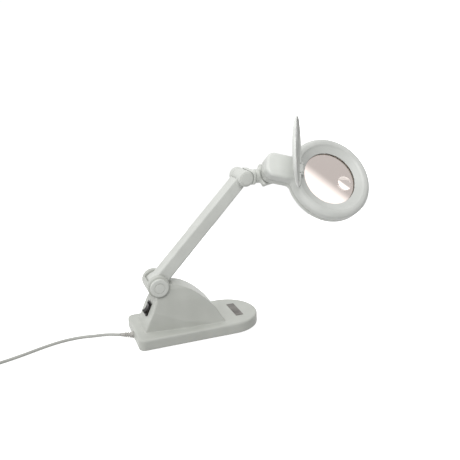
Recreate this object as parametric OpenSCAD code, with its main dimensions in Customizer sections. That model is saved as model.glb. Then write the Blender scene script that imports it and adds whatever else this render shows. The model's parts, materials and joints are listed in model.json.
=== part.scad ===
// Desk magnifying lamp: weighted base with a fin-shaped pedestal, hinged arm,
// swivelling neck, ring-shaped head with a large and a small lens, circular
// lamp tube under the ring, and a hinged lens cover.
// Origin: middle of the base outline, on the surface it stands on. +X is the
// front (the side the arm leans to), +Z is up.

/* [Base] */
// Length of the base plate, back end to front tip
base_len = 206; // [196:1:220]
// Width of the base plate
base_w = 102; // [98:1:108]
// Height of the base plate's top above the table
base_top = 18; // [16:0.5:20]
// Gap under the base shell, taken up by the rubber feet
foot_gap = 1.2; // [0.8:0.1:1.5]
// Corner radius at the back end
corner_r = 10; // [6:1:14]
// Wall thickness of the base shell
base_wall = 2.5; // [2:0.1:2.8]

/* [Arm] */
// Distance of the shoulder hinge from the back end
shoulder_x = 40.7; // [40:0.1:42]
// Height of the shoulder hinge
shoulder_z = 87; // [85:0.5:90]
// Hinge to hinge length of the arm
arm_len = 212; // [190:1:225]
// Angle of the arm above level at rest
arm_angle = 46.5; // [40:0.5:60]
// Width of the arm
arm_w = 24; // [24:0.5:25]
// Height of the arm's section at the shoulder end
arm_h_low = 21.6; // [20:0.2:22]
// Height of the arm's section at the elbow end
arm_h_high = 19.6; // [18:0.2:20]

/* [Head] */
// Angle of the neck above level at rest (negative points down)
neck_angle = -3.25; // [-10:0.25:20]
// Swivel of the head about the neck at rest
head_roll = 54.5; // [0:0.5:80]
// Turn of the head on its pivot screw at rest
head_pan = -14.5; // [-18:0.5:18]
// Outer radius of the lamp ring
ring_r = 69.5; // [69.5:0.1:71]
// Radius of the clear opening over the large lens
lens_open_r = 44; // [42:0.5:44]
// Radius of the small lens
inset_r = 12; // [10:0.5:12]
// Half width of the box that holds the head to the neck
box_half_w = 21; // [20.5:0.1:22]

/* [Lens cover] */
// Radius of the lens cover
cover_r = 52; // [50:0.5:53]
// Angle of the cover at rest, counted from closed
cover_open = 118.5; // [100:0.5:125]

/* [Mains lead] */
// Diameter of the mains lead
lead_d = 4.8; // [4.2:0.1:5]
// Diameter of the lead's coil at the middle of its turns
coil_d = 55; // [50:1:58]

/* [Hidden] */
$fn = 96;
eps = 0.01;
half_w = base_w / 2;
back_x = -base_len / 2;
front_x = base_len / 2 - half_w;      // centre of the round front
shoulder = [back_x + shoulder_x, 0, shoulder_z];
elbow = shoulder + arm_len * [cos(arm_angle), 0, sin(arm_angle)];

// shoulder joint
ear_r = 17.2;
ear_in = 13.3;                        // inner face of each ear
ear_out = 22;                         // outer face of each ear
barrel_r = 14;
barrel_half = 12;
arm_wall = 2.2;
shoulder_bolt_r = 3;
// elbow joint
cheek_r = 12.5;
cheek_in = 10;
cheek_out = 22;
tongue_half = 9;
elbow_bolt_r = 2.5;
saddle_r = 13.2;                      // inner radius of the neck's saddle
// neck
collar_r = 11;
collar_x = 21.3;                      // where the yoke meets the neck block
swivel_r = 6;
yoke_half = 18;
pivot_x = 55.5;                       // elbow to pan pivot along the neck
pivot_to_lens = 85;                   // pan pivot to lens centre
lens_rise = 28;                       // lens plane above the neck's axis
pan_bolt_r = 2.5;
run_gap = 0.06;                       // radial clearance of a turning fit
fit_gap = 0.02;                       // radial clearance of a fixed fit
// head, in its own frame: origin at the lens centre, x away from the box
ring_top = 7;
ring_bottom = -19.5;
ring_round = 8;
split_z = -7;                         // joint between upper and lower housing
head_wall = 2.3;
box_top = 8.5;
box_bottom = -20;
box_back = -110;
box_round = 14;
lens_edge_r = 46;
lens_edge_top = -1.3;
lens_edge_t = 3;
lens_bulge = 3;
inset_pos = [26, -3];
tube_r = 8;
tube_ring_r = 58;
tube_z = -9;
hinge_x = -53;
hinge_z = 9.5;
hinge_pin_r = 1.5;
knuckle_r = 3.5;
knuckle_half = 6.6;
cover_centre = 53;                    // hinge axis to the cover's centre
// pedestal
switch_pos = [back_x + 25.6, 0, 46.5];
back_slope = 64.2;                    // slope of the switch face
foot_pos = [[-75, 42], [-75, -42], [38, 42], [38, -42]];
base_screw_pos = [[-92, 28], [-92, -28], [66, 20], [66, -20]];
head_screw_pos = [[-98, 13.5], [-98, -13.5], [-74, 15.5], [-74, -15.5]];
foot_r = 6;
rocker_half = 5.4;
lead_r = lead_d / 2;
exit_y = 1.5;
exit_z = 5.6;
relief_len = 18.6;
relief_turn = [0, 86, 165.5];          // the way the strain relief points
// the lead's way from the end of its strain relief, down to the table and to the coil
lead_route = [[-122.8, 6.2, 6.9], [-127, 7.7, 7.1], [-131, 9.9, 7], [-136, 13.6, 6.4], [-141, 17.4, 5.5],
    [-147, 21.2, 4.3], [-153, 24.2, 3.3], [-160, 26.8, 2.6], [-167, 28.6, 2.4], [-175, 29.9, 2.4],
    [-188, 30.6, 2.4], [-202, 29.6, 2.4], [-218, 26.2, 2.4], [-236, 20.2, 2.4], [-254, 12.6, 2.4],
    [-272, 5, 2.4], [-290, -1.6, 2.4], [-308, -6.6, 2.4], [-326, -9.8, 2.4], [-346, -11.6, 2.4]];
coil_centre = [-366, 20];
// from the coil to the plug
lead_tail = [[-398.3, 21, 7.2], [-398.3, 34, 7.1], [-398.3, 48, 6.8], [-398.3, 64, 6.7]];
coil_layers = 3;
coil_rows = 3;
plug_pos = [-398.3, 84];

// ---- frames of the moving pieces ----
module at_arm() { translate(shoulder) rotate([0, -arm_angle, 0]) children(); }
module at_neck() { translate(elbow) rotate([0, -neck_angle, 0]) children(); }
module at_swivel() { at_neck() rotate([head_roll, 0, 0]) children(); }
module at_head() {
    at_swivel() translate([pivot_x, 0, 0]) rotate([0, 0, head_pan])
        translate([pivot_to_lens, 0, lens_rise]) children();
}
module at_cover() { at_head() translate([hinge_x, 0, hinge_z]) rotate([0, -cover_open, 0]) children(); }
module at_switch() { translate(switch_pos) rotate([0, -back_slope, 0]) children(); }

// ---- shared shapes ----
// cylinder along Y from y0 to y1
module rod_y(r, y0, y1) { translate([0, y0, 0]) rotate([-90, 0, 0]) cylinder(r = r, h = y1 - y0); }
// cylinder along X from x0 to x1
module rod_x(r, x0, x1) { translate([x0, 0, 0]) rotate([0, 90, 0]) cylinder(r = r, h = x1 - x0); }
// the same thing on both sides of the middle plane
module both_sides() { children(); mirror([0, 1, 0]) children(); }
module block(lo, hi) { translate(lo) cube(hi - lo); }

// plan of the base, drawn in by d all round
module base_plan(d = 0) {
    translate([front_x, 0]) circle(r = half_w - d);
    translate([back_x + corner_r, d - half_w]) square([front_x - back_x - corner_r, 2 * (half_w - d)]);
    translate([back_x + d, corner_r - half_w]) square([corner_r - d + 1, 2 * (half_w - corner_r)]);
    for (s = [-1, 1]) translate([back_x + corner_r, s * (half_w - corner_r)]) circle(r = corner_r - d);
}

// ridge of the pedestal: a cubic curve that falls from the ears, then a concave flare
function cubic(p, t) = pow(1 - t, 3) * p[0] + 3 * t * pow(1 - t, 2) * p[1]
    + 3 * t * t * (1 - t) * p[2] + pow(t, 3) * p[3];
function quad(p, t) = pow(1 - t, 2) * p[0] + 2 * t * (1 - t) * p[1] + t * t * p[2];
ridge_fall = [[back_x + 50, shoulder_z], [back_x + 84, shoulder_z - 0.5],
    [back_x + 103, shoulder_z - 17], [back_x + 128, shoulder_z - 45]];
ridge_flare = [[back_x + 128, shoulder_z - 45], [back_x + 137, base_top + 8], [back_x + 142.5, base_top - 1]];
ridge = concat([for (i = [0:12]) cubic(ridge_fall, i / 12)], [for (i = [1:8]) quad(ridge_flare, i / 8)]);
// side view of the pedestal, its ridge and back drawn in by d
module pedestal_side(d = 0) {
    polygon(concat([[back_x + 11.3 + 1.2 * d, base_top - 1], [back_x + 36 + 1.2 * d, shoulder_z - 20],
        [back_x + 41 + d, shoulder_z]], [for (p = ridge) p - [d, d]]));
}
// half widths of the pedestal at rising heights
pedestal_half = [[36, base_top - 1], [30, 44], [26, 60], [22.2, 72], [20, 80], [16, shoulder_z]];
module pedestal_front(d = 0) {
    polygon(concat([for (p = pedestal_half) [p[0] - d, p[1]]],
        [for (i = [5:-1:0]) [d - pedestal_half[i][0], pedestal_half[i][1]]]));
}
// top view of the pedestal: it widens towards the front
pedestal_widths = [[back_x - 2, 25.8], [back_x + 75, 33.2], [back_x + 150, 37]];
module pedestal_plan(d = 0) {
    polygon(concat([for (p = pedestal_widths) [p[0], p[1] - d]],
        [for (i = [2:-1:0]) [pedestal_widths[i][0], d - pedestal_widths[i][1]]]));
}
module pedestal_solid(d = 0) {
    intersection() {
        translate([0, 60, 0]) rotate([90, 0, 0]) linear_extrude(120) pedestal_side(d);
        translate([-150, 0, 0]) rotate([90, 0, 90]) linear_extrude(300) pedestal_front(d);
        linear_extrude(200) pedestal_plan(d);
    }
}

// ---- base ----
module base_shell() {
    color("#b4b6b0") {
        difference() {
            union() {
                translate([0, 0, foot_gap]) linear_extrude(base_top - foot_gap) base_plan();
                pedestal_solid();
                translate(shoulder) rod_y(ear_r, -ear_out, ear_out);
            }
            // room inside
            translate([0, 0, -1]) linear_extrude(base_top - base_wall + 1) base_plan(base_wall);
            intersection() {
                pedestal_solid(base_wall + 0.5);
                block([back_x + 20, -60, base_top], [back_x + 112, 60, shoulder_z - 24]);
            }
            block([back_x + 20, -24, 10], [back_x + 112, 24, base_top + 0.5]);
            // slot between the ears for the arm
            translate(shoulder) {
                rotate([90, 0, 0]) linear_extrude(2 * ear_in, center = true) {
                    circle(r = barrel_r + 1.4);
                    rotate(arm_angle - 18) translate([0, -12.6]) square([70, 72.6]);
                    rotate(arm_angle + 52) translate([0, -30]) square([40, 42.6]);
                }
                rod_y(shoulder_bolt_r + fit_gap, -40, 40);
                both_sides() rod_y(8, 18.5, 40);
            }
            // way for the lamp's wires
            translate([shoulder[0] + 4, 0, shoulder_z - 26]) cylinder(r = 3.5, h = 14);
            // hole for the switch and for the lead
            at_switch() block([-9.8, -7, -30], [9.8, 7, 8]);
            translate([back_x, exit_y, exit_z]) rod_x(3.6 + fit_gap, -2, 6);
        }
        // screw posts
        for (p = base_screw_pos) translate([p[0], p[1], foot_gap + 2.6]) difference() {
            cylinder(r = 4, h = base_top - base_wall - foot_gap - 2.6 + 0.5);
            translate([0, 0, -1]) cylinder(r = 1.5, h = 9);
        }
    }
}

module bottom_plate() {
    color("#8d8f8b") difference() {
        union() {
            translate([0, 0, foot_gap]) linear_extrude(2.4) base_plan(base_wall + 0.3);
            linear_extrude(foot_gap + 0.5) difference() { circle(r = 34); circle(r = 32); }
        }
        block([back_x, exit_y - 5.2, 0], [back_x + 5.2, exit_y + 5.2, 10]);
        for (p = foot_pos) translate([p[0], p[1], -1]) cylinder(r = foot_r + 0.2, h = foot_gap + 2.1);
        for (p = base_screw_pos) translate([p[0], p[1], -1]) {
            cylinder(r = 1.8, h = 8);
            cylinder(r = 3.7, h = foot_gap + 2.2);
        }
    }
}

module rubber_feet() {
    color("#3a3b3a") for (p = foot_pos) translate([p[0], p[1], 0]) cylinder(r = foot_r, h = foot_gap + 1);
}

module bottom_screws() {
    color("silver") for (p = base_screw_pos) translate([p[0], p[1], foot_gap]) {
        cylinder(r = 3.4, h = 1.1);
        cylinder(r = 1.4, h = 9);
    }
}

module base_weight() {
    color("dimgray") difference() {
        translate([0, 0, 4]) linear_extrude(9) intersection() {
            base_plan(9);
            translate([18, -60]) square([100, 120]);
        }
        for (p = base_screw_pos) translate([p[0], p[1], 0]) cylinder(r = 5, h = 20);
    }
}

choke_pos = [back_x + 66, 0, 4.2];
module choke_core() {
    color("slategray") translate(choke_pos) difference() {
        block([-20, -16, 0], [20, 16, 34]);
        for (s = [-1, 1]) block([-13, s > 0 ? 4 : -13, 10], [13, s > 0 ? 13 : -4, 35]);
        for (x = [-17.5, 17.5]) translate([x, 0, -1]) cylinder(r = 1.5 + fit_gap, h = 7);
    }
}
module choke_coil() {
    color("chocolate") translate(choke_pos) difference() {
        block([-12.8, -12.8, 10.2], [12.8, 12.8, 33.5]);
        block([-14, -4.1, 10], [14, 4.1, 36]);
    }
}
module choke_screws() {
    color("silver") translate(choke_pos) for (x = [-17.5, 17.5]) translate([x, 0, 0]) cylinder(r = 1.5, h = 5.8);
}

module terminal_block() {
    color("ivory") translate([back_x + 104, 0, 4]) difference() {
        block([-8, -16, 0], [8, 16, 13]);
        for (y = [-10, 0, 10]) translate([0, y, 7]) rotate([0, 90, 0]) translate([0, 0, -9]) cylinder(r = 1.8, h = 18);
        for (y = [-10, 0, 10]) for (x = [-4.5, 4.5]) translate([x, y, 8]) cylinder(r = 1.5, h = 6);
    }
}

// rocker switch: frame with a pocket, and the rocker on two short trunnions
module switch_body() {
    color("#1b1917") at_switch() difference() {
        union() {
            block([-10.7, -7.9, 0.1], [10.7, 7.9, 1.4]);
            block([-9.6, -6.8, -14], [9.6, 6.8, 0.2]);
            for (x = [-6, 0, 6]) block([x - 0.4, -2.4, -20], [x + 0.4, 2.4, -13.9]);
        }
        block([-8.5, -5.8, -8.2], [8.5, 5.8, 4]);
        rod_y(1.2 + run_gap, -6.4, 6.4);
    }
}
module switch_rocker() {
    color("#0f0e0d") at_switch() rotate([0, 8, 0]) union() {
        rotate([90, 0, 0]) translate([0, 0, -rocker_half]) linear_extrude(2 * rocker_half)
            polygon([[-8, 5.2], [-7.6, 0.2], [-3.6, -5.2], [3.6, -5.2], [7.6, 0.2], [8, 5.2], [4.2, 2.9], [0, 2.1], [-4.2, 2.9]]);
        rod_y(1.2, -6.3, 6.3);
    }
}

module label_plate() {
    color("#6c6a66") translate([back_x + 164.2, -23.4, base_top + 0.05]) cube([12.5, 46.8, 0.5]);
}

// ---- mains lead ----
module strain_relief() {
    color("#9a9c97") translate([back_x, exit_y, exit_z]) {
        rod_x(3.6, -1, 4);
        block([3.4, -5, -1.8], [5, 5, 4.6]);
        rod_x(5.2, -2, -0.02);
        translate([-1.4, 0.1, 0]) rotate(relief_turn) cylinder(r1 = 4.6, r2 = 3, h = relief_len);
    }
}
module cord_grip() {
    color("ivory") translate([back_x + 9, exit_y, 0]) {
        block([-1.5, -9, 4.2], [6, 9, 6.4]);
    }
}

// frame of a tube's ring at point i: x across in plan, z mostly up
function unit(v) = v / norm(v);
function heading(r, i) = unit(r[min(i + 1, len(r) - 1)] - r[max(i - 1, 0)]);
function ring_at(r, i, rad, n) = let (d = heading(r, i), s = unit(cross(d, [0, 0, 1])), u = cross(s, d))
    [for (k = [0:n - 1]) r[i] + rad * (cos((k + 0.5) * 360 / n) * s + sin((k + 0.5) * 360 / n) * u)];
module swept(r, rad, n = 8) {
    m = len(r);
    pts = [for (i = [0:m - 1]) each ring_at(r, i, rad, n)];
    polyhedron(pts, concat([[for (k = [0:n - 1]) k]],
        [for (i = [0:m - 2], k = [0:n - 1]) [i * n + k, (i + 1) * n + k, (i + 1) * n + (k + 1) % n, i * n + (k + 1) % n]],
        [[for (k = [n - 1:-1:0]) (m - 1) * n + k]]));
}
module power_cord() {
    color("#c9cac6") {
        swept(lead_route, lead_r);
        swept(lead_tail, lead_r);
    }
}
module cord_coil() {
    color("#c9cac6") translate([coil_centre[0], coil_centre[1], 0]) rotate_extrude()
        translate([(coil_d - coil_rows * lead_d) / 2, 0]) square([coil_rows * lead_d, coil_layers * lead_d]);
}
module cord_tie() {
    half = coil_rows * lead_r;
    top = coil_layers * lead_d;
    color("#222222") translate([coil_centre[0] + coil_d / 2, coil_centre[1], 0]) difference() {
        block([-half - 1.4, -3, 0], [half + 1.4, 3, top + 1.4]);
        block([-half - 0.3, -4, -1], [half + 0.3, 4, top + 0.3]);
    }
}
module plug_body() {
    color("#c9cac6") translate([plug_pos[0], plug_pos[1], 6.7]) rotate([0, 0, -90]) difference() {
        union() {
            block([-18, -12, -6.7], [10, 12, 6.7]);
            rod_x(5, 9, 20);
        }
        for (y = [-9.3, 9.3]) translate([0, y, 0]) rod_x(2 + fit_gap, -19, -8);
    }
}
module plug_pins() {
    color("silver") translate([plug_pos[0], plug_pos[1], 6.7]) rotate([0, 0, -90])
        for (y = [-9.3, 9.3]) translate([0, y, 0]) rod_x(2, -37, -8);
}

// ---- shoulder ----
module shoulder_bolt() {
    color("silver") translate(shoulder) {
        rod_y(shoulder_bolt_r, -18.5, 21.6);
        rod_y(5.5, -21.5, -18.5);
    }
}
module shoulder_nut() {
    color("silver") translate(shoulder) difference() {
        translate([0, 18.6, 0]) rotate([-90, 0, 0]) cylinder(r = 5.6, h = 3, $fn = 6);
        rod_y(shoulder_bolt_r + fit_gap, 10, 30);
    }
}
module shoulder_washers() {
    color("#505050") translate(shoulder) both_sides() difference() {
        rod_y(12, barrel_half + 0.1, ear_in - 0.1);
        rod_y(shoulder_bolt_r + fit_gap, 0, 30);
    }
}
module shoulder_caps() {
    color("#cfd0cc") translate(shoulder) both_sides() difference() {
        union() {
            rod_y(13.4, ear_out + 0.05, ear_out + 3.6);
            rod_y(7.8, ear_out - 0.35, ear_out + 0.1);
        }
        difference() {
            rod_y(8.3, ear_out + 3.2, ear_out + 4);
            rod_y(7.7, ear_out + 3, ear_out + 5);
        }
    }
}

// ---- arm ----
module arm_side(d) {
    polygon([[0, d - arm_h_low / 2], [arm_len, d - arm_h_high / 2],
        [arm_len, arm_h_high / 2 - d], [0, arm_h_low / 2 - d]]);
}
module arm_bar(d, x0, x1, half) {
    intersection() {
        translate([0, half, 0]) rotate([90, 0, 0]) linear_extrude(2 * half) arm_side(d);
        block([x0, -half, -30], [x1, half, 30]);
    }
}
module arm_body() {
    color("#c6c8c3") at_arm() difference() {
        union() {
            rod_y(barrel_r, -barrel_half, barrel_half);
            arm_bar(0, 0, arm_len, arm_w / 2);
            translate([arm_len, 0, 0]) rod_y(cheek_r, -cheek_out, cheek_out);
        }
        arm_bar(arm_wall, 20, arm_len - 19, arm_w / 2 - arm_wall);
        block([20, arm_wall - arm_w / 2, -20], [arm_len - 19, arm_w / 2 - arm_wall, 0]);
        rod_y(shoulder_bolt_r + run_gap, -30, 30);
        // way for the wires at both ends
        rod_x(3, 8, 21);
        rod_x(3, arm_len - 20, arm_len);
        translate([arm_len, 0, 0]) {
            rod_y(cheek_r + 0.5, -cheek_in, cheek_in);
            rod_y(elbow_bolt_r + fit_gap, -30, 30);
            both_sides() rod_y(7.5, 17.5, 30);
        }
        // room for the saddle as the neck turns
        translate([arm_len, 0, 0]) rotate([0, 180, 0]) block([-40, -cheek_in, -15], [0, cheek_in, 15]);
    }
}
module arm_cover() {
    color("#bdbfba") at_arm() difference() {
        intersection() {
            arm_bar(0, 20.3, arm_len - 19.3, arm_w / 2 - arm_wall - 0.15);
            block([0, -30, -30], [arm_len, 30, -6.9]);
        }
        arm_bar(arm_wall, 0, arm_len, 20);
        for (x = [30, 182]) translate([x, 0, -20]) cylinder(r = 1.6, h = 20);
    }
}
module arm_screws() {
    color("silver") at_arm() for (x = [30, 182]) {
        z = -(arm_h_low + (arm_h_high - arm_h_low) * x / arm_len) / 2;
        translate([x, 0, z - 0.9]) { cylinder(r = 2.8, h = 0.8); cylinder(r = 1.5, h = 6); }
    }
}
module arm_cable() { color("white") at_arm() rod_x(2.3, 9, arm_len - 14); }

// ---- elbow and neck ----
module elbow_bolt() {
    color("silver") translate(elbow) {
        rod_y(elbow_bolt_r, -17.5, 20.4);
        rod_y(4.6, -20.3, -17.5);
    }
}
module elbow_nut() {
    color("silver") translate(elbow) difference() {
        translate([0, 17.6, 0]) rotate([-90, 0, 0]) cylinder(r = 4.6, h = 2.7, $fn = 6);
        rod_y(elbow_bolt_r + fit_gap, 10, 30);
    }
}
module elbow_washers() {
    color("#505050") translate(elbow) both_sides() difference() {
        rod_y(9.5, tongue_half + 0.1, cheek_in - 0.1);
        rod_y(elbow_bolt_r + fit_gap, 0, 30);
    }
}
module elbow_caps() {
    color("#c2c4bf") at_arm() translate([arm_len, 0, 0]) both_sides() {
        rod_y(9.2, cheek_out + 0.05, cheek_out + 1.2);
        rod_y(7.4, cheek_out - 1.2, cheek_out + 0.1);
    }
}
module neck_block() {
    color("#babcb6") at_neck() difference() {
        union() {
            rod_y(cheek_r - 0.3, -tongue_half, tongue_half);
            block([0, -tongue_half, -9], [16, tongue_half, 9]);
            difference() {
                intersection() {
                    block([4, -20, -10], [17, 20, 11.5]);
                    rod_x(21, 0, 30);
                }
                rod_y(saddle_r, -30, 30);
            }
            rod_x(collar_r, 14, collar_x - 0.2);
        }
        rod_y(elbow_bolt_r + run_gap, -30, 30);
        rod_x(swivel_r + fit_gap, 13.5, 40);
        rod_x(2.6, 0, 20);
    }
}
module swivel_tube() {
    color("silver") at_neck() difference() {
        rod_x(swivel_r, 13.6, 29.2);
        rod_x(4.4, 0, 40);
        rotate([0, 90, 0]) translate([0, 0, 27.2]) difference() { cylinder(r = 8, h = 1.1); cylinder(r = 5.4, h = 1.1); }
    }
}
module swivel_clip() {
    color("silver") at_neck() difference() {
        rod_x(7.2, 27.3, 28.2);
        rod_x(5.5, 20, 40);
        block([20, -1.5, 0], [40, 1.5, 10]);
    }
}
module yoke() {
    color("#b6b8b2") at_swivel() difference() {
        union() {
            rod_x(collar_r, collar_x, 26.5);
            hull() {
                rod_x(collar_r - 0.6, 25.4, 26.5);
                block([31, -yoke_half, -1.8], [36, yoke_half, 6.4]);
            }
            translate([0, 0, -1.8]) linear_extrude(8.2) {
                polygon([[34, -yoke_half], [pivot_x, -13], [pivot_x, 13], [34, yoke_half]]);
                translate([pivot_x, 0]) circle(r = 13);
            }
        }
        block([26.5, -30, 6.4], [80, 30, 30]);
        rod_x(swivel_r + run_gap, 10, 27);
        rod_x(7.6, 26.9, 31);
        translate([34, 0, 1]) rod_x(2.2, -5, 12);
        translate([pivot_x, 0, -10]) cylinder(r = pan_bolt_r + run_gap, h = 40);
        translate([pivot_x, 0, -10]) cylinder(r = 6.2, h = 10.4);
    }
}
module pan_bolt() {
    color("silver") at_head() translate([-pivot_to_lens, 0, -lens_rise]) {
        translate([0, 0, -1.4]) cylinder(r = 5.6, h = 1.7);
        cylinder(r = pan_bolt_r, h = 15);
    }
}
module pan_washer() {
    color("#505050") at_head() translate([-pivot_to_lens, 0, -lens_rise + 6.5]) difference() {
        cylinder(r = 12, h = 1.4);
        translate([0, 0, -1]) cylinder(r = pan_bolt_r + fit_gap, h = 4);
    }
}

// ---- head ----
function arc_pts(c, r, a0, a1, n = 8) = [for (i = [0:n]) c + r * [cos(a0 + (a1 - a0) * i / n), sin(a0 + (a1 - a0) * i / n)]];
// half of the ring's section as a solid outline, drawn in by d
module ring_half(d, upper) {
    c = ring_r - ring_round;
    if (upper) polygon(concat([[30, split_z]], [[30, -2]], [[lens_open_r, 0.4 - d]],
        [[55, 4.9 - d], [57.5, 6.7 - d]], arc_pts([c, ring_top - ring_round], ring_round - d, 90, 0), [[ring_r - d, split_z]]));
    else polygon(concat([[30, split_z], [ring_r - d, split_z]],
        arc_pts([c, ring_bottom + ring_round], ring_round - d, 0, -90), [[30, ring_bottom + d]]));
}
// plan of the box, drawn in by d
module box_plan(d) {
    for (s = [-1, 1]) translate([box_back + box_round, s * (box_half_w - box_round)]) circle(r = box_round - d);
    translate([box_back + d, box_round - box_half_w]) square([box_round, 2 * (box_half_w - box_round)]);
    translate([box_back + box_round, d - box_half_w]) square([-box_back - box_round - 52, 2 * (box_half_w - d)]);
}
module head_top() {
    color("#cccec9") at_head() {
        difference() {
            union() {
                rotate_extrude() ring_half(0, true);
                translate([0, 0, split_z]) linear_extrude(box_top - split_z) difference() {
                    box_plan(0);
                    circle(r = 60);
                }
            }
            // room for the tube
            rotate_extrude() difference() {
                ring_half(head_wall, true);
                translate([0, -30]) square([48.5, 60]);
            }
            translate([0, 0, split_z - 1]) linear_extrude(box_top - head_wall - split_z + 1) difference() {
                box_plan(head_wall);
                circle(r = 60);
            }
            translate([0, 0, -20]) cylinder(r = lens_open_r, h = 40);
            translate([0, 0, -20]) cylinder(r = lens_edge_r + 0.5, h = 20.35 + lens_edge_top);
        }
        // hinge lugs of the cover
        both_sides() difference() {
            union() {
                translate([hinge_x, 0, hinge_z]) rod_y(knuckle_r, 7, 11);
                block([hinge_x - knuckle_r, 7, 3.2], [hinge_x + knuckle_r, 11, hinge_z]);
            }
            translate([hinge_x, 0, hinge_z]) rod_y(hinge_pin_r + fit_gap, -1, 10.6);
        }
        // screw posts
        for (p = head_screw_pos) translate([p[0], p[1], split_z + 0.5]) difference() {
            cylinder(r = 3, h = box_top - head_wall - split_z - 0.4);
            translate([0, 0, -1]) cylinder(r = 1.2, h = 8);
        }
    }
}
module head_bottom() {
    color("#c4c6c1") at_head() difference() {
        union() {
            difference() {
                rotate_extrude() difference() {
                    ring_half(0, false);
                    translate([0, -30]) square([61, 60]);
                }
                rotate_extrude() ring_half(head_wall, false);
                translate([0, 0, split_z - 0.1]) cylinder(r = ring_r + 5, h = 1);
            }
            difference() {
                translate([0, 0, box_bottom]) linear_extrude(split_z - 0.1 - box_bottom) difference() {
                    box_plan(0);
                    circle(r = ring_r - 3);
                }
                translate([0, 0, box_bottom + head_wall]) linear_extrude(40) difference() {
                    box_plan(head_wall);
                    circle(r = ring_r - head_wall);
                }
            }
            for (p = head_screw_pos) translate([p[0], p[1], box_bottom + 1]) cylinder(r = 4.2, h = split_z - box_bottom - 1.1);
            translate([-pivot_to_lens, 0, box_bottom + 1]) cylinder(r = 6, h = 7.6);
        }
        for (p = head_screw_pos) translate([p[0], p[1], box_bottom - 1]) {
            cylinder(r = 3, h = 5);
            cylinder(r = 1.6, h = 30);
        }
        // way for the tube's pins through the ring's wall
        block([-72, -12.6, -17.3], [-60, 12.6, 0]);
        translate([-pivot_to_lens, 0, box_bottom - 1]) cylinder(r = pan_bolt_r + fit_gap, h = 8.2);
        translate([box_back + 10, 0, box_bottom - 1]) cylinder(r = 3.2, h = 6);
    }
}
module head_screws() {
    color("silver") at_head() for (p = head_screw_pos) translate([p[0], p[1], box_bottom + 2.2]) {
        cylinder(r = 2.7, h = 1.7);
        cylinder(r = 1.15, h = 14);
    }
}
// lens with two equal round faces, each rising by bulge at radius r
module lens_body(r, edge, bulge) {
    ball = (r * r + bulge * bulge) / (2 * bulge);
    rotate_extrude() intersection() {
        translate([0, bulge - ball]) circle(r = ball, $fn = 1440);
        translate([0, ball - bulge - edge]) circle(r = ball, $fn = 1440);
        translate([0, -edge - bulge - 1]) square([r, edge + 2 * bulge + 2]);
    }
}
module main_lens() {
    color("#cfd8dc", 0.5) at_head() difference() {
        translate([0, 0, lens_edge_top - 0.05]) lens_body(lens_edge_r, lens_edge_t, lens_bulge);
        translate([inset_pos[0], inset_pos[1], -20]) cylinder(r = inset_r + 0.05, h = 40);
    }
}
module inset_lens() {
    color("#dfe8ec", 0.5) at_head() translate([inset_pos[0], inset_pos[1], lens_edge_top + 1.6])
        lens_body(inset_r, 6.4, 1.8);
}
module lens_ring() {
    color("#d5d6d2") at_head() rotate_extrude()
        polygon([[43.6, -7.4], [43.6, -4.75], [lens_edge_r + 0.1, -4.75], [lens_edge_r + 0.3, -7.4]]);
}
module reflector() {
    color("white") at_head() rotate_extrude() translate([51.3, 0]) square([13.7, 0.8]);
}
// circular lamp tube: a ring with a gap for its four-pin base
module lamp_tube() {
    color("#f4f4ee") at_head() rotate([0, 0, 191]) rotate_extrude(angle = 338)
        translate([tube_ring_r, tube_z]) circle(r = tube_r, $fn = 48);
}
module tube_base() {
    color("#e6e6e0") at_head() difference() {
        rotate([0, 0, 169.3]) rotate_extrude(angle = 21.4) translate([tube_ring_r - 8.3, tube_z - 8.1]) square([16.6, 16.6]);
        translate([-tube_ring_r - 8, 0, tube_z]) for (y = [-3, 3]) for (z = [-3, 3])
            translate([0, y, z]) rod_x(1.2, -10, 6);
    }
}
module tube_clips() {
    color("silver") at_head() for (a = [60, -60, 125, -125]) rotate([0, 0, a - 4]) rotate_extrude(angle = 8)
        translate([tube_ring_r, tube_z]) difference() {
            circle(r = tube_r + 0.85, $fn = 48);
            circle(r = tube_r + 0.15, $fn = 48);
            translate([-20, -30]) square([40, 26]);
        }
}
module tube_socket() {
    color("#e0e0da") at_head() difference() {
        block([-78, -9, tube_z - 6.5], [-68.2, 9, tube_z + 8]);
        translate([-75, 0, tube_z]) for (y = [-3, 3]) for (z = [-3, 3])
            translate([0, y, z]) rod_x(1.4, 0, 10);
    }
}
module starter() {
    color("white") at_head() translate([-104, 0, 0]) rod_x(6, 0, 24);
}

// ---- lens cover ----
module cover_pin() {
    color("silver") at_head() translate([hinge_x, 0, hinge_z]) rod_y(hinge_pin_r, -10.5, 10.5);
}
module lens_cover() {
    color("#d4d6d1") at_cover() difference() {
        union() {
            translate([cover_centre, 0, 0]) rotate_extrude() polygon([[0, 8.7], [18, 8.4], [34, 7.3], [46, 5.5],
                [50.5, 4.1], [cover_r, 2.7], [cover_r, 0.4], [cover_r - 2, 0.4], [cover_r - 2.2, 2.3],
                [45, 3.6], [34, 5.4], [18, 6.5], [0, 6.8]]);
            rod_y(knuckle_r, -knuckle_half, knuckle_half);
            block([-0.6, -knuckle_half, 0.6], [cover_centre - cover_r + 2.6, knuckle_half, 3.2]);
        }
        rod_y(hinge_pin_r + run_gap, -20, 20);
        both_sides() rod_y(knuckle_r + 0.4, knuckle_half + 0.15, 11.4);
    }
}

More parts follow.
